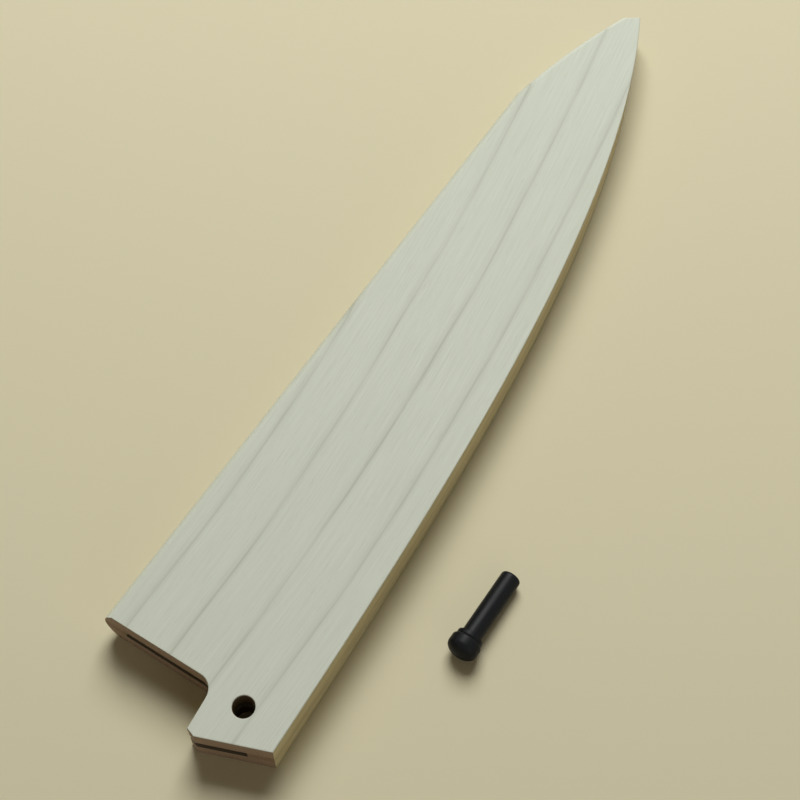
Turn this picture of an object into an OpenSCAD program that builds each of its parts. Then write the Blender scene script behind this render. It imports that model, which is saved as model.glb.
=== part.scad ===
// Wooden knife sheath glued up from two outer boards and two core strips,
// with a loose turned pin that goes through the tab behind the blade's heel.
// The origin is on the pin hole's axis, on the face that the sheath lies on.
// +X runs towards the tip, +Y towards the blade's back, +Z up through the boards.

/* [Boards] */
// Thickness of each outer board
board_t = 5.6; // [4:0.1:8]
// Thickness of the core strips, which is the width of the blade slot
slot_t = 3.4; // [2:0.1:5]
// Length from the pin hole's axis to the tip
sheath_l = 252.5; // [228:0.5:284]
// Distance from the pin hole's axis to the outermost line of the back edge
back_y = 46; // [40:0.5:54]
// How far the rounded back edge stands out beyond the flat faces
back_bulge = 3.1; // [1.5:0.1:5]

/* [Tip] */
// Length over which the back edge comes down to the tip
drop_l = 47; // [38:0.5:62]
// How far the middle of that stretch stands out beyond a straight line
drop_bow = 1.4; // [0.6:0.05:2]
// Height of the tip above the pin hole's axis
tip_y = 29.5; // [26:0.1:31]
// Height above the tip at which the back edge would meet the sheath's full length
tip_h = 3.1; // [1.5:0.1:4]
// Slope of the blunt end between the back edge and the tip, in degrees
tip_slope = 54; // [48:1:64]
// Radius of the tip's lower corner
tip_r = 1.2; // [0.6:0.1:2]

/* [Cutting edge side] */
// Distance from the pin hole's axis down to the lower corner of the tab
edge_y = 13.2; // [11.5:0.1:16]
// Angle of the lower side where it leaves the tab, in degrees
heel_angle = 2.4; // [0:0.5:5]
// Angle of the lower side where it reaches the tip, in degrees
tip_angle = 28; // [22:1:34]
// Length over which the lower side keeps the tab's direction
heel_pull = 66; // [44:1:88]
// Length over which the lower side keeps the tip's direction
tip_pull = 77; // [54:1:94]

/* [Mouth and tab] */
// Distance from the pin hole's axis to the mouth at the back edge, negative towards the tab
mouth_x = 0; // [-3:0.5:4]
// Slope of the mouth away from square, in degrees
mouth_slope = 1.45; // [0:0.05:4]
// Distance from the pin hole's axis to the tab's upper side, at the mouth
tab_side = 9.9; // [8.5:0.1:12]
// Slope of the tab's upper side, in degrees
side_slope = 5.5; // [0:0.5:9]
// Radius of the inner corner between the mouth and the tab
notch_r = 4.6; // [2:0.2:7]
// Distance from the pin hole's axis to the far corner of the tab
tab_reach = 13.4; // [11:0.1:18]
// Length of the small corner cut, along the tab
corner_l = 0.9; // [0.4:0.1:2]
// Height of the small corner cut, across the tab
corner_h = 2.6; // [1:0.1:4]
// Slope of the tab's end away from square, in degrees
tab_slope = 22; // [10:1:28]

/* [Blade slot] */
// Width of the core strip along the back edge
back_wall = 6.5; // [5:0.1:9]
// Width of the core strip along the cutting edge side
edge_wall = 6.7; // [5:0.1:8]

/* [Pin] */
// Diameter of the pin hole through both boards
hole_d = 6; // [5:0.1:7.5]
// Clearance between the pin and its hole, all round
pin_clearance = 0.1; // [0.05:0.01:0.2]
// Length of the pin's shank, from the collar to the tail
shank_l = 21; // [18:0.1:26]
// How far the collar stands out beyond the shank
collar_step = 0.9; // [0.5:0.1:1.6]
// Length of the collar
collar_l = 1.5; // [0.8:0.1:2.2]
// How far the head stands out beyond the collar
head_step = 0.6; // [0.2:0.1:1.4]
// Length over which the head widens from the collar
rim_l = 0.8; // [0.4:0.1:1.6]
// Length of the head's straight part
head_l = 1.8; // [1:0.1:3]
// Length of the domed end, beyond the head's straight part
dome_l = 2.6; // [1.6:0.1:4.2]
// Radius of the rounding at the shank's tail
tail_r = 0.8; // [0.3:0.1:1.5]
// Place of the collar's shoulder along the sheath, with the pin lying beside it
pin_x = 51.4; // [30:0.2:160]
// Distance of the lying pin from the pin hole's axis, at the collar's shoulder
pin_y = 36.5; // [28:0.5:60]
// Direction in which the lying pin's tail points, in degrees
pin_turn = 0.2; // [-40:0.2:10]

/* [Hidden] */
$fn = 96;

wood = [0.80, 0.80, 0.71];
core_wood = [0.72, 0.69, 0.55];
ebony = [0.06, 0.06, 0.065];

full_t = 2 * board_t + slot_t;
core_z = board_t;
front_z = board_t + slot_t;
// Distance that a cutting shape runs on past the wood
past = 2 * tab_reach;

// Small helpers for points in the plan
function along(p, angle, l) = [p.x + l * cos(angle), p.y + l * sin(angle)];
function arc(c, r, a, b, steps) = [for (i = [0:steps]) along(c, a + (b - a) * i / steps, r)];
function bend(p, t) =
    pow(1 - t, 3) * p[0] + 3 * pow(1 - t, 2) * t * p[1] + 3 * (1 - t) * t * t * p[2] + pow(t, 3) * p[3];
function bend_way(p, t) =
    pow(1 - t, 2) * (p[1] - p[0]) + 2 * (1 - t) * t * (p[2] - p[1]) + t * t * (p[3] - p[2]);
function sideways(v) = [-v.y, v.x] / norm(v);
function crossing(p, a, q, b) =
    let (k = ((q.x - p.x) * sin(b) - (q.y - p.y) * cos(b)) / sin(b - a)) along(p, a, k);

// Back edge in plan: a straight line, then a long flat arc that comes down to the tip
drop_x = sheath_l - drop_l;
drop_h = back_y - tip_y - tip_h;
drop_chord = norm([drop_l, drop_h]);
drop_angle = atan(drop_h / drop_l);
drop_r = (drop_chord * drop_chord / 4 + drop_bow * drop_bow) / (2 * drop_bow);
drop_c = along([drop_x + drop_l / 2, back_y - drop_h / 2], -90 - drop_angle, drop_r - drop_bow);
// Back edge in section: one arc across the whole thickness
nose_r = (full_t * full_t / 4 + back_bulge * back_bulge) / (2 * back_bulge);

// Mouth, inner corner and tab
mouth_angle = -90 + mouth_slope;
side_angle = 180 + side_slope;
mouth_top = [mouth_x - past * tan(mouth_slope), back_y + past];
side_start = [mouth_x, tab_side];
notch_c = crossing(
    along(mouth_top, mouth_angle - 90, notch_r), mouth_angle,
    along(side_start, side_angle - 90, notch_r), side_angle
);
notch = arc(notch_c, notch_r, mouth_angle + 90, side_angle - 270, 10);
corner_start = crossing(side_start, side_angle, [corner_l - tab_reach, 0], 90);
corner_end = [-tab_reach, corner_start.y - corner_h];
tab_foot = [corner_end.x + (corner_end.y + edge_y) * tan(tab_slope), -edge_y];

// Lower corner of the tip
tip_c = [sheath_l - tip_r, tip_y];
tip_start = along(tip_c, tip_angle - 90, tip_r);

// Lower side, from the tab to the tip, and the slot's side inside it
belly = [tab_foot, along(tab_foot, heel_angle, heel_pull), along(tip_start, tip_angle, -tip_pull), tip_start];
belly_steps = 40;
belly_points = [for (i = [0:belly_steps]) bend(belly, i / belly_steps)];
slot_points = [for (i = [0:belly_steps]) bend(belly, i / belly_steps)
    + edge_wall * sideways(bend_way(belly, i / belly_steps))];
slot_start = slot_points[0];

// Lying pin: it rests on the near end of its head's straight part and on its tail
shank_r = hole_d / 2 - pin_clearance;
collar_r = shank_r + collar_step;
head_r = collar_r + head_step;
widest = shank_l + collar_l + rim_l;
dome_start = widest + head_l;
pin_tilt = asin((head_r - shank_r) / (widest - tail_r));

// Plan of the sheath, left open past the back edge and the blunt end, which outside() closes
module plan() {
    polygon(concat(
        [mouth_top],
        notch,
        [corner_start, corner_end],
        belly_points,
        arc(tip_c, tip_r, tip_angle - 90, 0, 6),
        [[sheath_l, back_y + past]]
    ));
}

// Everything in front of the rounded back edge, with its edge moved in by inset
module back_edge(inset = 0) {
    reach = back_y + 2 * past;
    intersection() {
        translate([-2 * past, back_y - inset, 0])
            rotate([90, 0, 90]) linear_extrude(sheath_l + 4 * past) nose(reach, inset);
        union() {
            // The straight stretch stops short of the drop, so that the arc makes the corner
            translate([-2 * past, -reach, 0]) cube([drop_x + 2 * past - back_wall / 2, 2 * reach, full_t]);
            translate([drop_c.x, drop_c.y, 0]) rotate_extrude($fn = 360) intersection() {
                translate([drop_r - inset, 0]) nose(2 * drop_r, inset);
                square([drop_r, full_t]);
            }
        }
    }
}

// The back edge's rounding, carried on round the blunt end of the tip
module outside() {
    intersection() {
        back_edge();
        translate([sheath_l, tip_y, 0]) rotate([90, 0, 90 - tip_slope])
            translate([0, 0, -sheath_l]) linear_extrude(2 * sheath_l) nose(2 * sheath_l);
    }
}

// Section of the back edge: an arc where it is the outside, square where it is the slot
module nose(reach, inset = 0) {
    if (inset == 0) {
        intersection() {
            translate([-nose_r, full_t / 2]) circle(nose_r);
            translate([-nose_r, 0]) square([nose_r, full_t]);
        }
        translate([-reach, 0]) square([reach - back_bulge, full_t]);
    } else {
        translate([-reach, 0]) square([reach, full_t]);
    }
}

// One layer of the sheath, from one height to another
module layer(from_z, to_z) {
    intersection() {
        translate([0, 0, from_z]) linear_extrude(to_z - from_z) plan();
        outside();
    }
}

module board(from_z, to_z) {
    difference() {
        layer(from_z, to_z);
        translate([0, 0, -past]) cylinder(d = hole_d, h = full_t + 2 * past);
    }
}

// Space above the cutting edge side that the blade slides into, open at the mouth and the tab
module blade_space() {
    translate([0, 0, -past]) linear_extrude(full_t + 2 * past) polygon(concat(
        [[-2 * past, slot_start.y]],
        slot_points,
        [[sheath_l, back_y], [-2 * past, back_y]]
    ));
}

module front_board() {
    color(wood) board(front_z, full_t);
}

module back_board() {
    color(wood) board(0, board_t);
}

// The strip along the back has one width from the mouth right to the tip
module spine_strip() {
    color(core_wood) difference() {
        layer(core_z, front_z);
        back_edge(back_wall);
    }
}

// The strip along the cutting edge side butts against it behind the tip
module edge_strip() {
    color(core_wood) intersection() {
        difference() {
            layer(core_z, front_z);
            blade_space();
        }
        back_edge(back_wall);
    }
}

// Turned pin, drawn along its axis from the tail at the start to the domed head
module pin_turning() {
    rotate_extrude() polygon(concat(
        [[0, 0]],
        arc([shank_r - tail_r, tail_r], tail_r, -90, 0, 8),
        [[shank_r, shank_l], [collar_r, shank_l], [collar_r, shank_l + collar_l]],
        [[head_r, widest]],
        [for (i = [0:11]) [head_r * cos(90 * i / 12), dome_start + dome_l * sin(90 * i / 12)]],
        [[0, dome_start + dome_l]]
    ));
}

module retaining_pin() {
    color(ebony)
        translate([pin_x, -pin_y, 0])
        rotate([0, 0, pin_turn])
        translate([shank_l - widest, 0, head_r * cos(pin_tilt)])
        rotate([0, pin_tilt - 90, 0])
        translate([0, 0, -widest])
        pin_turning();
}

front_board();
back_board();
spine_strip();
edge_strip();
retaining_pin();
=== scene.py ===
import math

import bmesh
import bpy
from mathutils import Matrix, Vector


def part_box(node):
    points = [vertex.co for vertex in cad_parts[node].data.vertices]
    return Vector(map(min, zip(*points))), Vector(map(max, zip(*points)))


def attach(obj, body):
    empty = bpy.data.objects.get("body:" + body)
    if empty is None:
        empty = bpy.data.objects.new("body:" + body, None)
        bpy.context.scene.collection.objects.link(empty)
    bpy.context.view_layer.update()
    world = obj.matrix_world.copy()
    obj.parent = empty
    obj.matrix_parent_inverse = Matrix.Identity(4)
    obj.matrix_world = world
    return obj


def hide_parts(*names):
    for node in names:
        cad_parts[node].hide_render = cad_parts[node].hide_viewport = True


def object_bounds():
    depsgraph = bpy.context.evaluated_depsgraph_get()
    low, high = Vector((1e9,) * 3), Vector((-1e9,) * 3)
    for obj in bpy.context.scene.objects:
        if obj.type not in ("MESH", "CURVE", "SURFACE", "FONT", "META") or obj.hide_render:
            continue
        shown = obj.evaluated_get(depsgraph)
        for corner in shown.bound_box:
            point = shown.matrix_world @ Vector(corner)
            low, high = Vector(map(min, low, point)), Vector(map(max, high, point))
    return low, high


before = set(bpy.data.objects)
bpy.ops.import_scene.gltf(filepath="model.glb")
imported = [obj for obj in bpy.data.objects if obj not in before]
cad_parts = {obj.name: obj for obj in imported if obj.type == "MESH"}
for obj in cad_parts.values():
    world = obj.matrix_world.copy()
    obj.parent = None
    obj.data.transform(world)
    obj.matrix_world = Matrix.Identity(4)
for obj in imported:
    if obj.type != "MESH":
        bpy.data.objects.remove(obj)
cadLow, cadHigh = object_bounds()
mm = 0.001
print("frame loaded:", ", ".join(sorted(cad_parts)))


# Colour and node helpers

def linearColour(hexCode):
    parts = [int(hexCode[i:i + 2], 16) / 255 for i in (1, 3, 5)]
    return [p / 12.92 if p <= 0.04045 else ((p + 0.055) / 1.055) ** 2.4 for p in parts] + [1.0]


def addNode(tree, kind, settings=None, links=None):
    node = tree.nodes.new(kind)
    for key, value in (settings or {}).items():
        if isinstance(key, int) or key in node.inputs:
            node.inputs[key].default_value = value
        else:
            setattr(node, key, value)
    for key, source in (links or {}).items():
        tree.links.new(source, node.inputs[key])
    return node


def calculate(tree, operation, a, b=0.0, clamp=False):
    settings, links = {"operation": operation, "use_clamp": clamp}, {}
    for index, value in enumerate((a, b)):
        if isinstance(value, (int, float)):
            settings[index] = value
        else:
            links[index] = value
    return addNode(tree, "ShaderNodeMath", settings, links).outputs[0]


def mixColours(tree, share, a, b):
    node = tree.nodes.new("ShaderNodeMix")
    node.data_type = "RGBA"
    for key, value in ((0, share), (6, a), (7, b)):
        if isinstance(value, (int, float, list)):
            node.inputs[key].default_value = value
        else:
            tree.links.new(value, node.inputs[key])
    return node.outputs[2]


def rampOf(tree, source, stops):
    node = addNode(tree, "ShaderNodeValToRGB", {}, {"Fac": source})
    ramp = node.color_ramp
    while len(ramp.elements) < len(stops):
        ramp.elements.new(0.5)
    for element, (place, level) in zip(ramp.elements, stops):
        element.position = place
        element.color = (level, level, level, 1)
    return node.outputs["Color"]


def noiseAt(tree, place, perMm, detail=3.0, roughness=0.55):
    # perMm says how many features the noise has in a millimetre along each axis
    stretched = addNode(tree, "ShaderNodeVectorMath", {"operation": "MULTIPLY", 1: perMm}, {0: place})
    noise = addNode(
        tree, "ShaderNodeTexNoise",
        {"Scale": 1.0, "Detail": detail, "Roughness": roughness}, {"Vector": stretched.outputs[0]},
    )
    return noise.outputs["Fac"]


def newMaterial(name):
    material = bpy.data.materials.new(name)
    material.use_nodes = True
    material.node_tree.nodes.clear()
    return material, material.node_tree


# Magnolia, planed and sanded and left bare: pale, slightly green white, close-pored and matt,
# with thin grey growth lines along the board, a fine silky fibre and brown, thirsty end grain; the end
# grain, the side faces and the slot's faces also carry painted shade

magnolia = {
    "ringSpacing": 13.9,              # mm from one growth line to the next
    "ringStart": 4.7,                 # mm from the pin hole's axis to a growth line, on the underside
    "ringTilt": 0.55,                 # slope of the growth layers through the thickness
    "ringWander": 1.2,                # mm that a line strays to either side at most
    "levelUntil": 40.0,               # mm along the board, where the grain starts to turn up
    "turnLength": 70.0,               # mm, over which it comes up by turnRise
    "turnRise": 4.36,                 # mm
    "turnPower": 1.6,
    "wander": (0.012, 0.03, 0.03),    # features in a millimetre along, across and through
    "lineBreaks": (0.03, 0.05, 0.05),
    "fibre": (0.05, 2.4, 2.4),        # coarser than real fibres, which are too fine to show
    "fleck": (0.22, 3.4, 3.4),
    "cloud": (0.012, 0.07, 0.07),
    "endPore": (3.0, 3.0, 3.0),
    "fleckShare": 0.18,               # how much of the growth line's grey a fleck has
    "cloudShare": 0.35,
    "insideShadeShare": 0.85,                 # how much painted shade darkens the slot's faces and the hole's wall
    "roughness": (0.58, 0.72),
    "ior": 1.45,
    "specular": 0.15,
    "bumpStrength": 0.35,
    "bumpDepth": 0.05 * mm,
    "fibreHeight": 0.6,               # share of the bump's depth
    "fleckDepth": 0.4,
    "holeRadius": 3.02,               # mm, the drilled hole's wall lies just inside it
    "middle": (cadLow.z + cadHigh.z) / 2 / mm,    # mm up to the middle of the thickness
    "slotReach": 1.75,                # mm from the middle, just past the slot's faces
}

# The inside tones are painted shade for the slot's faces and the drilled hole's wall
# The side tones are painted shade and painted warm bounce light on the faces that turn away from the lamp
boardTones = {
    "light": "#ced4c6", "dark": "#c5cbbc", "line": "#8f9080", "inside": "#58462e",
    "side": "#cec39a", "sideDark": "#bbae85", "end": "#a38c75", "endDark": "#856f5c",
}
coreTones = {
    "light": "#bdb899", "dark": "#ada686", "line": "#8a8264", "inside": "#53422b",
    "side": "#c8bb92", "sideDark": "#b1a27a", "end": "#917a62", "endDark": "#745f4a",
}


def magnoliaPlaned(name, tones, wood):
    material, tree = newMaterial(name)
    coords = addNode(tree, "ShaderNodeTexCoord")
    place = addNode(
        tree, "ShaderNodeVectorMath", {"operation": "SCALE", "Scale": 1 / mm}, {0: coords.outputs["Object"]},
    ).outputs[0]
    split = addNode(tree, "ShaderNodeSeparateXYZ", {}, {0: place})
    x, y, z = split.outputs

    # The grain runs level until a little past the mouth and then turns up towards the tip
    pastLevel = calculate(tree, "MAXIMUM", calculate(tree, "SUBTRACT", x, wood["levelUntil"]), 0.0)
    pastShare = calculate(tree, "DIVIDE", pastLevel, wood["turnLength"])
    turn = calculate(tree, "POWER", pastShare, wood["turnPower"])
    across = calculate(tree, "SUBTRACT", y, calculate(tree, "MULTIPLY", turn, wood["turnRise"]))
    grain = addNode(tree, "ShaderNodeCombineXYZ", {}, {0: x, 1: across, 2: z}).outputs[0]

    # Growth lines: evenly spaced layers that follow the grain and wander a little
    wander = calculate(tree, "SUBTRACT", noiseAt(tree, grain, wood["wander"], 3.0), 0.5)
    level = calculate(tree, "ADD", across, calculate(tree, "MULTIPLY", z, wood["ringTilt"]))
    level = calculate(tree, "ADD", level, calculate(tree, "MULTIPLY", wander, wood["ringWander"] * 2))
    level = calculate(tree, "SUBTRACT", level, wood["ringStart"])
    layer = calculate(tree, "FRACT", calculate(tree, "DIVIDE", level, wood["ringSpacing"]))
    line = rampOf(tree, layer, [
        (0.0, 1.0), (0.022, 0.5), (0.06, 0.22), (0.16, 0.0), (0.91, 0.0), (0.975, 0.3), (1.0, 1.0),
    ])
    lineStrength = rampOf(tree, noiseAt(tree, grain, wood["lineBreaks"], 2.0), [(0.3, 0.2), (0.7, 0.5)])
    line = calculate(tree, "MULTIPLY", line, lineStrength)

    fibre = rampOf(tree, noiseAt(tree, grain, wood["fibre"], 4.0, 0.6), [(0.35, 0.0), (0.68, 1.0)])
    fleck = rampOf(tree, noiseAt(tree, grain, wood["fleck"], 2.0, 0.5), [(0.62, 0.0), (0.78, 1.0)])
    cloud = rampOf(tree, noiseAt(tree, place, wood["cloud"], 2.0), [(0.3, 0.0), (0.7, 1.0)])
    endPore = rampOf(tree, noiseAt(tree, place, wood["endPore"], 3.0, 0.6), [(0.4, 0.0), (0.65, 1.0)])

    # Flat face, side and end grain, told apart by the way the surface faces. The side tone is painted shade;
    # the end tone is real darker end grain plus painted shade
    facing = addNode(tree, "ShaderNodeSeparateXYZ", {}, {0: coords.outputs["Normal"]})
    flatness = calculate(tree, "ABSOLUTE", facing.outputs[2])
    upward = rampOf(tree, flatness, [(0.08, 0.0), (0.5, 1.0)])
    endward = rampOf(tree, calculate(tree, "ABSOLUTE", facing.outputs[0]), [(0.45, 0.0), (0.8, 1.0)])

    flat = mixColours(tree, fibre, linearColour(tones["light"]), linearColour(tones["dark"]))
    cloudShare = calculate(tree, "MULTIPLY", cloud, wood["cloudShare"])
    flat = mixColours(tree, cloudShare, flat, linearColour(tones["dark"]))
    # The side faces get a darker, yellower copy of the face tone: painted shade and painted warm bounce
    # light
    side = mixColours(tree, fibre, linearColour(tones["side"]), linearColour(tones["sideDark"]))
    # End grain is darker than the faces for real, and its tone is darkened further as painted shade
    end = mixColours(tree, endPore, linearColour(tones["end"]), linearColour(tones["endDark"]))
    colour = mixColours(tree, upward, side, flat)
    fleckShare = calculate(tree, "MULTIPLY", fleck, wood["fleckShare"])
    colour = mixColours(tree, fleckShare, colour, linearColour(tones["line"]))
    colour = mixColours(tree, line, colour, linearColour(tones["line"]))
    colour = mixColours(tree, endward, colour, end)

    # Painted shade darkens the slot's faces and the drilled hole's wall, where little light gets in
    xSquared, ySquared = calculate(tree, "MULTIPLY", x, x), calculate(tree, "MULTIPLY", y, y)
    fromHole = calculate(tree, "SQRT", calculate(tree, "ADD", xSquared, ySquared))
    inHole = calculate(tree, "LESS_THAN", fromHole, wood["holeRadius"])
    fromMiddle = calculate(tree, "ABSOLUTE", calculate(tree, "SUBTRACT", z, wood["middle"]))
    inSlot = calculate(tree, "MULTIPLY", calculate(tree, "LESS_THAN", fromMiddle, wood["slotReach"]), upward)
    shadedInside = calculate(tree, "MAXIMUM", inHole, inSlot)
    insideShadeShare = calculate(tree, "MULTIPLY", shadedInside, wood["insideShadeShare"])
    colour = mixColours(tree, insideShadeShare, colour, linearColour(tones["inside"]))

    roughSpan = {"To Min": wood["roughness"][0], "To Max": wood["roughness"][1]}
    rough = addNode(tree, "ShaderNodeMapRange", roughSpan, {"Value": fibre}).outputs[0]
    fibreHeight = calculate(tree, "MULTIPLY", fibre, wood["fibreHeight"])
    fleckDepth = calculate(tree, "MULTIPLY", fleck, wood["fleckDepth"])
    relief = {"Strength": wood["bumpStrength"], "Distance": wood["bumpDepth"]}
    height = calculate(tree, "SUBTRACT", fibreHeight, fleckDepth)
    bump = addNode(tree, "ShaderNodeBump", relief, {"Height": height})
    shader = addNode(
        tree, "ShaderNodeBsdfPrincipled", {"IOR": wood["ior"], "Specular IOR Level": wood["specular"]},
        {"Base Color": colour, "Roughness": rough, "Normal": bump.outputs[0]},
    )
    addNode(tree, "ShaderNodeOutputMaterial", {}, {"Surface": shader.outputs[0]})
    return material


# Ebony, turned and oiled: near black with a cool satin sheen, fine rings left by the tool
# round the shank and short straight pores along it

ebony = {
    "dark": "#07080a", "light": "#121416",
    "ringSpacing": 0.5,             # mm between the tool's rings, coarser than real to show at all
    "pore": (2.2, 2.2, 0.16),       # features in a millimetre across and along, coarser too
    "patch": (0.35, 0.35, 0.12),
    "poreShare": 0.7,
    "roughness": (0.38, 0.5),
    "ior": 1.5,
    "specular": 0.11,
    "bumpStrength": 0.25,
    "bumpDepth": 0.03 * mm,
    "ringHeight": 0.3,              # share of the bump's depth
    "poreHeight": 0.7,
}


def ebonyTurned(name, wood, axisSpace):
    material, tree = newMaterial(name)
    coords = addNode(tree, "ShaderNodeTexCoord")
    place = addNode(
        tree, "ShaderNodeVectorMath", {"operation": "SCALE", "Scale": 1 / mm}, {0: coords.outputs["Object"]},
    ).outputs[0]
    # Turn the object's coordinates so that Z runs along the pin
    turned = addNode(
        tree, "ShaderNodeMapping", {"vector_type": "TEXTURE", "Rotation": axisSpace}, {"Vector": place},
    ).outputs[0]
    along = addNode(tree, "ShaderNodeSeparateXYZ", {}, {0: turned}).outputs[2]
    rings = calculate(tree, "SINE", calculate(tree, "MULTIPLY", along, 2 * math.pi / wood["ringSpacing"]))
    pore = rampOf(tree, noiseAt(tree, turned, wood["pore"], 3.0, 0.6), [(0.4, 0.0), (0.7, 1.0)])
    patch = rampOf(tree, noiseAt(tree, turned, wood["patch"], 2.0), [(0.3, 0.0), (0.75, 1.0)])
    poreShare = calculate(tree, "MULTIPLY", pore, wood["poreShare"])
    colour = mixColours(tree, poreShare, linearColour(wood["dark"]), linearColour(wood["light"]))
    roughSpan = {"To Min": wood["roughness"][0], "To Max": wood["roughness"][1]}
    rough = addNode(tree, "ShaderNodeMapRange", roughSpan, {"Value": patch}).outputs[0]
    ringHeight = calculate(tree, "MULTIPLY", rings, wood["ringHeight"])
    poreHeight = calculate(tree, "MULTIPLY", pore, wood["poreHeight"])
    relief = {"Strength": wood["bumpStrength"], "Distance": wood["bumpDepth"]}
    height = calculate(tree, "ADD", ringHeight, poreHeight)
    bump = addNode(tree, "ShaderNodeBump", relief, {"Height": height})
    shader = addNode(
        tree, "ShaderNodeBsdfPrincipled", {"IOR": wood["ior"], "Specular IOR Level": wood["specular"]},
        {"Base Color": colour, "Roughness": rough, "Normal": bump.outputs[0]},
    )
    addNode(tree, "ShaderNodeOutputMaterial", {}, {"Surface": shader.outputs[0]})
    return material


boardWood = magnoliaPlaned("magnoliaPlanedBoard", boardTones, magnolia)
coreWood = magnoliaPlaned("magnoliaSawnCore", coreTones, magnolia)
print("wood materials made")


# Sheath: the boards keep their CAD shape and get eased edges, the core strips stay as they are

boards = {
    "ease": 0.5 * mm,         # rounding that sandpaper leaves on the outer edges
    "easeSteps": 3,
    "leastTurn": 25,          # degrees, edges that turn less than this stay as they are
    "weld": 0.001 * mm,       # points closer than this are one point
    "flat": 0.2,              # degrees, faces that turn less than this are one face
    "nearFace": 0.01 * mm,    # how far a point of the rim may lie from the board's face
    "smoothUnder": 35,        # degrees
}


def showAs(piece, material, body, *nodes):
    piece.data.materials.clear()
    piece.data.materials.append(material)
    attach(piece, body)
    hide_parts(*nodes)


def smoothByAngle(mesh, degrees):
    mesh.polygons.foreach_set("use_smooth", [True] * len(mesh.polygons))
    mesh.set_sharp_from_angle(angle=math.radians(degrees))


def easedBoard(node, name, faceHeight, settings):
    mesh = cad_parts[node].data.copy()
    mesh.name = name
    for attribute in [a for a in mesh.attributes if a.name == "custom_normal"]:
        mesh.attributes.remove(attribute)
    shape = bmesh.new()
    shape.from_mesh(mesh)
    bmesh.ops.remove_doubles(shape, verts=shape.verts, dist=settings["weld"])
    bmesh.ops.dissolve_limit(
        shape, angle_limit=math.radians(settings["flat"]), verts=shape.verts, edges=shape.edges,
    )
    rim = [
        e for e in shape.edges
        if all(abs(v.co.z - faceHeight) < settings["nearFace"] for v in e.verts)
        and e.is_manifold and math.degrees(e.calc_face_angle(0)) > settings["leastTurn"]
    ]
    bmesh.ops.bevel(
        shape, geom=rim, offset=settings["ease"], segments=settings["easeSteps"],
        profile=0.5, affect="EDGES", clamp_overlap=True,
    )
    shape.to_mesh(mesh)
    shape.free()
    smoothByAngle(mesh, settings["smoothUnder"])
    board = bpy.data.objects.new(name, mesh)
    bpy.context.scene.collection.objects.link(board)
    weigh = board.modifiers.new("weightedNormals", "WEIGHTED_NORMAL")
    weigh.keep_sharp = True
    return board


frontBoard = easedBoard("front_board", "frontBoard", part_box("front_board")[1].z, boards)
backBoard = easedBoard("back_board", "backBoard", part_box("back_board")[0].z, boards)
showAs(frontBoard, boardWood, "sheath", "front_board")
showAs(backBoard, boardWood, "sheath", "back_board")
for node in ("spine_strip", "edge_strip"):
    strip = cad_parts[node]
    strip.data.materials.clear()
    strip.data.materials.append(coreWood)
print("sheath made")


# Pin: one turned piece, drawn from the tail's centre up to the middle of the domed head

pin = {
    "shankLength": 21.0 * mm,
    "shankRadius": 2.9 * mm,
    "tailRound": 0.8 * mm,
    "collarRadius": 3.8 * mm,
    "collarLength": 1.5 * mm,
    "headRadius": 4.4 * mm,
    "rimLength": 0.8 * mm,   # over which the head swells out above the collar
    "headLength": 1.8 * mm,  # straight part of the head
    "domeLength": 2.6 * mm,
    "edgeRound": 0.3 * mm,   # rounding of the collar's edges and of the corner under it
    "shoulder": (51.4 * mm, -36.5 * mm),    # where the shank meets the collar, seen from above
    "turn": 0.2,             # degrees, the way the tail points
    "around": 96,            # points in each ring
    "smoothUnder": 40,       # degrees
}


def arcPoints(centre, radius, startAngle, endAngle, steps):
    angles = [startAngle + (endAngle - startAngle) * i / steps for i in range(steps + 1)]
    return [
        (centre[0] + radius * math.cos(math.radians(a)), centre[1] + radius * math.sin(math.radians(a)))
        for a in angles
    ]


def pinProfile(p):
    shoulder = p["shankLength"]
    collarTop = shoulder + p["collarLength"]
    widest = collarTop + p["rimLength"]
    domeStart = widest + p["headLength"]
    ease = p["edgeRound"]
    points = [(0.0, 0.0)]
    points += arcPoints((p["shankRadius"] - p["tailRound"], p["tailRound"]), p["tailRound"], -90, 0, 8)
    points += arcPoints((p["shankRadius"] + ease, shoulder - ease), ease, 180, 90, 4)
    points += arcPoints((p["collarRadius"] - ease, shoulder + ease), ease, -90, 0, 4)
    points += arcPoints((p["collarRadius"] - ease, collarTop - ease), ease, 0, 60, 3)
    # The head swells out from a fine groove over the collar, runs straight and then domes over
    swell = p["headRadius"] - p["collarRadius"] + ease / 2
    for a in [math.radians(d) for d in range(-72, 1, 12)]:
        points.append((p["headRadius"] + swell * (math.cos(a) - 1), widest + p["rimLength"] * math.sin(a)))
    for a in [math.radians(d) for d in range(0, 90, 6)]:
        points.append((p["headRadius"] * math.cos(a), domeStart + p["domeLength"] * math.sin(a)))
    points.append((0.0, domeStart + p["domeLength"]))
    return points


def turnedPiece(name, profile, around, smoothUnder):
    mesh = bpy.data.meshes.new(name)
    shape = bmesh.new()
    rings = []
    for radius, height in profile:
        if radius == 0.0:
            rings.append([shape.verts.new((0, 0, height))])
            continue
        angles = [2 * math.pi * k / around for k in range(around)]
        rings.append([shape.verts.new((radius * math.cos(a), radius * math.sin(a), height)) for a in angles])
    for low, high in zip(rings, rings[1:]):
        for k in range(around):
            n = (k + 1) % around
            corners = [low[k % len(low)], low[n % len(low)], high[n % len(high)], high[k % len(high)]]
            shape.faces.new(list(dict.fromkeys(corners)))
    bmesh.ops.recalc_face_normals(shape, faces=shape.faces)
    shape.to_mesh(mesh)
    shape.free()
    smoothByAngle(mesh, smoothUnder)
    piece = bpy.data.objects.new(name, mesh)
    bpy.context.scene.collection.objects.link(piece)
    return piece


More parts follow.
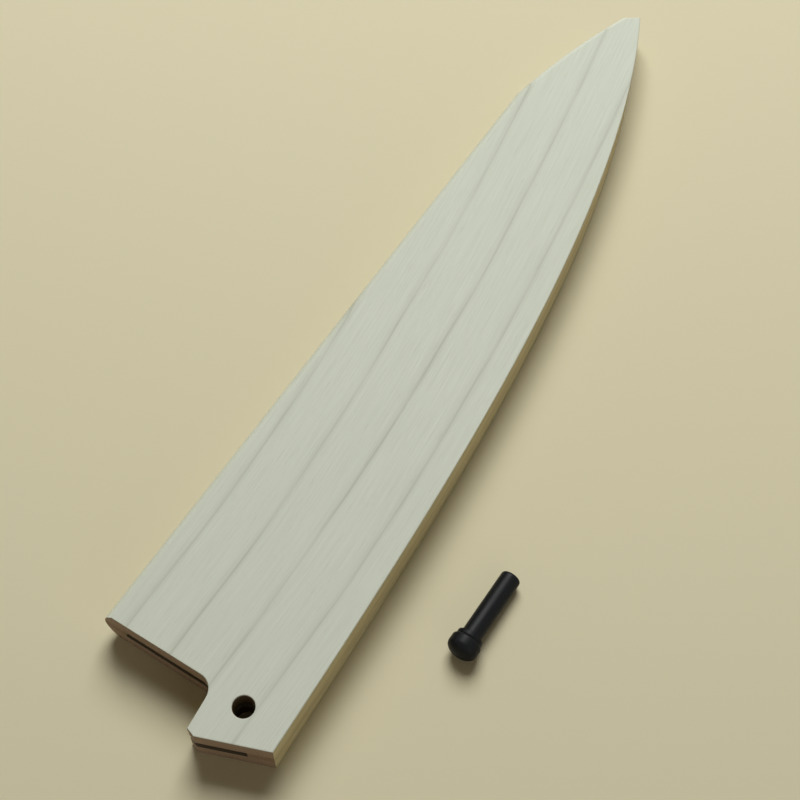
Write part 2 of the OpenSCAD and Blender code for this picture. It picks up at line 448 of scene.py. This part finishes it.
def pinPlace(p):
    # The pin rests on the near end of its head's straight part and on its tail
    widest = p["shankLength"] + p["collarLength"] + p["rimLength"]
    tilt = math.asin((p["headRadius"] - p["shankRadius"]) / (widest - p["tailRound"]))
    return (
        Matrix.Translation((*p["shoulder"], 0))
        @ Matrix.Rotation(math.radians(p["turn"]), 4, "Z")
        @ Matrix.Translation((p["shankLength"] - widest, 0, p["headRadius"] * math.cos(tilt)))
        @ Matrix.Rotation(tilt - math.pi / 2, 4, "Y")
        @ Matrix.Translation((0, 0, -widest))
    )


retainingPin = turnedPiece("retainingPin", pinProfile(pin), pin["around"], pin["smoothUnder"])
pinMatrix = pinPlace(pin)
retainingPin.data.transform(pinMatrix)
pinWood = ebonyTurned("ebonyTurnedPin", ebony, tuple(pinMatrix.to_euler()))
showAs(retainingPin, pinWood, "pin", "retaining_pin")
print("pin made")


# Floor, light and camera

studio = {
    "floor": "#d2ccad",
    "floorRoughness": 0.8,
    "floorSpecular": 0.2,
    "floorHalf": 9.0,                  # m, far enough to fill low views too
    "floorFar": "#d9d1ae",             # even tone of the floor far from the object
    "fadeFrom": 0.24,                  # m from the object's middle
    "fadeTo": 0.6,
    "floorGap": 0.02 * mm,             # keeps the floor from flickering through the undersides
    "keyWay": (0.66, 0.40, 1.0),       # from the object's middle towards the main lamp
    "keyDistance": 1.3,                # m
    "keySize": 0.75,                   # m
    "keyPower": 17.8,                  # W
    "sideWay": (-0.5, -0.85, 0.28),    # and towards a weak low lamp on the cutting edge's side
    "sideDistance": 1.2,
    "sideSize": 0.9,
    "sidePower": 1.5,
    "fill": 0.11,
    "fillColour": "#ffe6c4",           # warm light that the room gives back into the shadows
}

camera = {
    "place": (-0.0830, -0.1006, 0.4310),    # m
    "heading": 33.3,                        # degrees from +X, in plan
    "down": 63.4,                           # degrees below the horizon
    "roll": 0.445,                          # degrees
    "focal": 75.5,                          # mm
    "sensor": 36,                           # mm
    "shift": (0.0041, 0.0175),
}

target = (cadLow + cadHigh) / 2


def plainFloor(settings):
    mesh = bpy.data.meshes.new("floor")
    half = settings["floorHalf"]
    corners = [(-half, -half, 0), (half, -half, 0), (half, half, 0), (-half, half, 0)]
    mesh.from_pydata(corners, [], [(0, 1, 2, 3)])
    floor = bpy.data.objects.new("floor", mesh)
    bpy.context.scene.collection.objects.link(floor)
    floor.location.z = cadLow.z - settings["floorGap"]
    material, tree = newMaterial("paperBackdrop")
    matt = {"Roughness": settings["floorRoughness"], "Specular IOR Level": settings["floorSpecular"]}
    paper = addNode(
        tree, "ShaderNodeBsdfPrincipled", {"Base Color": linearColour(settings["floor"]), **matt},
    )
    # Far from the sheath, where the lamp no longer reaches, the camera sees the paper's plain tone
    middle = {"operation": "DISTANCE", 1: (target.x, target.y, 0)}
    coords = addNode(tree, "ShaderNodeTexCoord")
    away = addNode(tree, "ShaderNodeVectorMath", middle, {0: coords.outputs["Object"]}).outputs["Value"]
    span = {"From Min": settings["fadeFrom"], "From Max": settings["fadeTo"]}
    span["interpolation_type"] = "SMOOTHSTEP"
    fade = addNode(tree, "ShaderNodeMapRange", span, {"Value": away}).outputs[0]
    rays = addNode(tree, "ShaderNodeLightPath")
    share = calculate(tree, "MULTIPLY", fade, rays.outputs["Is Camera Ray"])
    plain = addNode(tree, "ShaderNodeEmission", {"Color": linearColour(settings["floorFar"])})
    shader = addNode(tree, "ShaderNodeMixShader", {}, {0: share, 1: paper.outputs[0], 2: plain.outputs[0]})
    addNode(tree, "ShaderNodeOutputMaterial", {}, {"Surface": shader.outputs[0]})
    mesh.materials.append(material)


def areaLamp(name, way, distance, size, power):
    lamp = bpy.data.lights.new(name, "AREA")
    lamp.size = size
    lamp.energy = power
    holder = bpy.data.objects.new(name, lamp)
    bpy.context.scene.collection.objects.link(holder)
    holder.location = target + Vector(way).normalized() * distance
    holder.rotation_euler = (-Vector(way)).to_track_quat("-Z", "Y").to_euler()
    holder.visible_camera = False


def skyLight(strength, tint):
    # Soft light comes from all round, and the camera and reflections see plain white
    world = bpy.data.worlds.new("studioSky")
    world.use_nodes = True
    tree = world.node_tree
    tree.nodes.clear()
    rays = addNode(tree, "ShaderNodeLightPath")
    shown = calculate(tree, "ADD", rays.outputs["Is Camera Ray"], rays.outputs["Is Glossy Ray"], True)
    shown = calculate(tree, "ADD", shown, rays.outputs["Is Transmission Ray"], True)
    level = calculate(tree, "ADD", calculate(tree, "MULTIPLY", shown, 1 - strength), strength)
    colour = mixColours(tree, shown, linearColour(tint), linearColour("#ffffff"))
    sky = addNode(tree, "ShaderNodeBackground", {}, {"Color": colour, "Strength": level})
    addNode(tree, "ShaderNodeOutputWorld", {}, {"Surface": sky.outputs[0]})
    bpy.context.scene.world = world


def photoCamera(settings):
    heading, down = math.radians(settings["heading"]), math.radians(settings["down"])
    roll = math.radians(settings["roll"])
    look = Vector((math.cos(heading) * math.cos(down), math.sin(heading) * math.cos(down), -math.sin(down)))
    right = Vector((math.sin(heading), -math.cos(heading), 0))
    up = right.cross(look)
    rolledRight = right * math.cos(roll) + up * math.sin(roll)
    rolledUp = up * math.cos(roll) - right * math.sin(roll)
    lens = bpy.data.cameras.new("photoCamera")
    lens.lens = settings["focal"]
    lens.sensor_width = settings["sensor"]
    lens.shift_x, lens.shift_y = settings["shift"]
    lens.clip_start = 0.01
    holder = bpy.data.objects.new("photoCamera", lens)
    bpy.context.scene.collection.objects.link(holder)
    turn = Matrix((rolledRight, rolledUp, -look)).transposed().to_4x4()
    holder.matrix_world = Matrix.Translation(settings["place"]) @ turn
    bpy.context.scene.camera = holder


plainFloor(studio)
areaLamp("keyLamp", studio["keyWay"], studio["keyDistance"], studio["keySize"], studio["keyPower"])
areaLamp("sideLamp", studio["sideWay"], studio["sideDistance"], studio["sideSize"], studio["sidePower"])
skyLight(studio["fill"], studio["fillColour"])
photoCamera(camera)
bpy.context.scene.view_settings.view_transform = "Standard"
print("floor, light and camera made")
